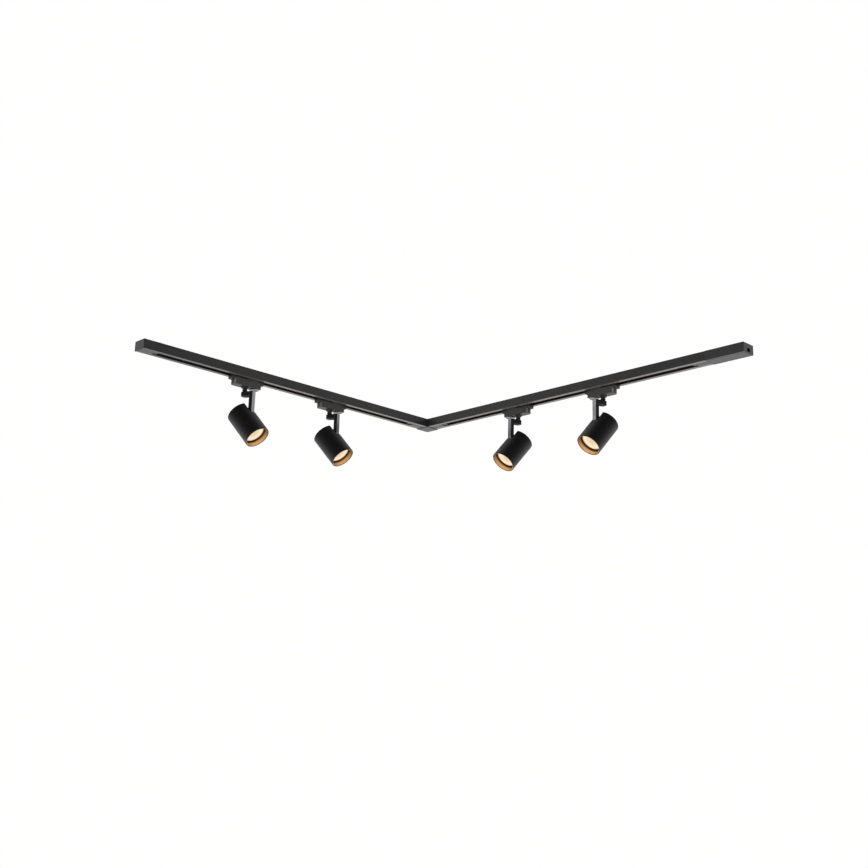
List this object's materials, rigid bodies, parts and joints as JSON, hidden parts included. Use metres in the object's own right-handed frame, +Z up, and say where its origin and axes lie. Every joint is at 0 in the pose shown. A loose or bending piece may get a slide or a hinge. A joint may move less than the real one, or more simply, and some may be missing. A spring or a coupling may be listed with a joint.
{
  "type": "track lighting fixture",
  "caption": "L-shaped ceiling track of two slotted rails with a corner connector, power feed and end cap, carrying adjustable cylindrical spot lights on sliding adapters.",
  "frame": {"origin": "middle of the corner connector's top face, on the ceiling", "axes": "+Z up out of the ceiling face, +X along the fed rail away from the corner, -Y along the capped rail"},
  "size_m": [0.9411, 0.8534, 0.1734],
  "materials": {
    "coated_aluminium": "satin dark grey powder coat",
    "dark_plastic": "satin dark grey",
    "black_plastic": "matte black",
    "adapter_plastic": "satin dark grey",
    "liner_plastic": "matte black",
    "copper": "drawn copper",
    "white_ceramic": "fired off-white",
    "dial_metal": "satin turned metal",
    "black_metal": "satin black",
    "arm_metal": "satin dark grey",
    "steel": "plain steel",
    "head_metal": "fine black powder coat",
    "lamp_shell": "dark satin",
    "lamp_lens": "frosted lens, lit warm white",
    "gold_ring": "satin gold anodised"
  },
  "bodies": {
    "track": {"left_track_rail": "coated_aluminium", "left_track_liner": "liner_plastic", "left_live_conductor": "copper", "left_neutral_conductor": "copper", "right_track_rail": "coated_aluminium", "right_track_liner": "liner_plastic", "right_live_conductor": "copper", "right_neutral_conductor": "copper", "end_cap": "dark_plastic", "feed_housing": "dark_plastic", "feed_cover": "dark_plastic", "feed_terminal_block": "white_ceramic", "corner_connector": "dark_plastic", "corner_cover": "dark_plastic", "corner_live_link": "copper", "corner_neutral_link": "copper"},
    "left_outer_adapter": {"left_outer_adapter_housing": "adapter_plastic"},
    "left_outer_lock": {"left_outer_lock_dial": "dial_metal", "left_outer_contact_cam": "black_plastic"},
    "left_outer_arm": {"left_outer_swivel": "black_metal", "left_outer_arm": "arm_metal"},
    "left_outer_head": {"left_outer_pivot_pin": "steel", "left_outer_head_tube": "head_metal", "left_outer_lamp_holder": "white_ceramic", "left_outer_lamp_body": "lamp_shell", "left_outer_lamp_lens": "lamp_lens", "left_outer_front_ring": "gold_ring"},
    "left_inner_adapter": {"left_inner_adapter_housing": "adapter_plastic"},
    "left_inner_lock": {"left_inner_lock_dial": "dial_metal", "left_inner_contact_cam": "black_plastic"},
    "left_inner_arm": {"left_inner_swivel": "black_metal", "left_inner_arm": "arm_metal"},
    "left_inner_head": {"left_inner_pivot_pin": "steel", "left_inner_head_tube": "head_metal", "left_inner_lamp_holder": "white_ceramic", "left_inner_lamp_body": "lamp_shell", "left_inner_lamp_lens": "lamp_lens", "left_inner_front_ring": "gold_ring"},
    "right_inner_adapter": {"right_inner_adapter_housing": "adapter_plastic"},
    "right_inner_lock": {"right_inner_lock_dial": "dial_metal", "right_inner_contact_cam": "black_plastic"},
    "right_inner_arm": {"right_inner_swivel": "black_metal", "right_inner_arm": "arm_metal"},
    "right_inner_head": {"right_inner_pivot_pin": "steel", "right_inner_head_tube": "head_metal", "right_inner_lamp_holder": "white_ceramic", "right_inner_lamp_body": "lamp_shell", "right_inner_lamp_lens": "lamp_lens", "right_inner_front_ring": "gold_ring"},
    "right_outer_adapter": {"right_outer_adapter_housing": "adapter_plastic"},
    "right_outer_lock": {"right_outer_lock_dial": "dial_metal", "right_outer_contact_cam": "black_plastic"},
    "right_outer_arm": {"right_outer_swivel": "black_metal", "right_outer_arm": "arm_metal"},
    "right_outer_head": {"right_outer_pivot_pin": "steel", "right_outer_head_tube": "head_metal", "right_outer_lamp_holder": "white_ceramic", "right_outer_lamp_body": "lamp_shell", "right_outer_lamp_lens": "lamp_lens", "right_outer_front_ring": "gold_ring"}
  },
  "joints": [
    {"name": "left_outer_slide", "type": "slide", "parent": "track", "child": "left_outer_adapter", "axis": [0, -1, 0], "range_m": [-0.092, 0.18]},
    {"name": "left_outer_lock", "type": "hinge", "parent": "left_outer_adapter", "child": "left_outer_lock", "pos_m": [0, -0.5318, -0.02], "axis": [0, 0, 1], "range_deg": [0, 90]},
    {"name": "left_outer_pan", "type": "hinge", "parent": "left_outer_adapter", "child": "left_outer_arm", "pos_m": [0, -0.5558, -0.0505], "axis": [0, 0, 1], "range_deg": [-175, 175]},
    {"name": "left_outer_tilt", "type": "hinge", "parent": "left_outer_arm", "child": "left_outer_head", "pos_m": [0.01465, -0.54988, -0.0966], "axis": [0.3746, -0.9272, 0], "range_deg": [-40, 50]},
    {"name": "left_inner_slide", "type": "slide", "parent": "track", "child": "left_inner_adapter", "axis": [0, -1, 0], "range_m": [-0.201, 0.058]},
    {"name": "left_inner_lock", "type": "hinge", "parent": "left_inner_adapter", "child": "left_inner_lock", "pos_m": [0, -0.2918, -0.02], "axis": [0, 0, 1], "range_deg": [0, 90]},
    {"name": "left_inner_pan", "type": "hinge", "parent": "left_inner_adapter", "child": "left_inner_arm", "pos_m": [0, -0.3158, -0.0505], "axis": [0, 0, 1], "range_deg": [-175, 175]},
    {"name": "left_inner_tilt", "type": "hinge", "parent": "left_inner_arm", "child": "left_inner_head", "pos_m": [0.01465, -0.30988, -0.0966], "axis": [0.3746, -0.9272, 0], "range_deg": [-40, 50]},
    {"name": "right_inner_slide", "type": "slide", "parent": "track", "child": "right_inner_adapter", "axis": [1, 0, 0], "range_m": [-0.188, 0.071]},
    {"name": "right_inner_lock", "type": "hinge", "parent": "right_inner_adapter", "child": "right_inner_lock", "pos_m": [0.2788, 0, -0.02], "axis": [0, 0, 1], "range_deg": [0, 90]},
    {"name": "right_inner_pan", "type": "hinge", "parent": "right_inner_adapter", "child": "right_inner_arm", "pos_m": [0.3028, 0, -0.0505], "axis": [0, 0, 1], "range_deg": [-175, 175]},
    {"name": "right_inner_tilt", "type": "hinge", "parent": "right_inner_arm", "child": "right_inner_head", "pos_m": [0.29871, -0.01526, -0.0966], "axis": [-0.9659, 0.2588, 0], "range_deg": [-40, 50]},
    {"name": "right_outer_slide", "type": "slide", "parent": "track", "child": "right_outer_adapter", "axis": [1, 0, 0], "range_m": [-0.085, 0.189]},
    {"name": "right_outer_lock", "type": "hinge", "parent": "right_outer_adapter", "child": "right_outer_lock", "pos_m": [0.5248, 0, -0.02], "axis": [0, 0, 1], "range_deg": [0, 90]},
    {"name": "right_outer_pan", "type": "hinge", "parent": "right_outer_adapter", "child": "right_outer_arm", "pos_m": [0.5488, 0, -0.0505], "axis": [0, 0, 1], "range_deg": [-175, 175]},
    {"name": "right_outer_tilt", "type": "hinge", "parent": "right_outer_arm", "child": "right_outer_head", "pos_m": [0.54471, -0.01526, -0.0966], "axis": [-0.9659, 0.2588, 0], "range_deg": [-40, 50]}
  ]
}
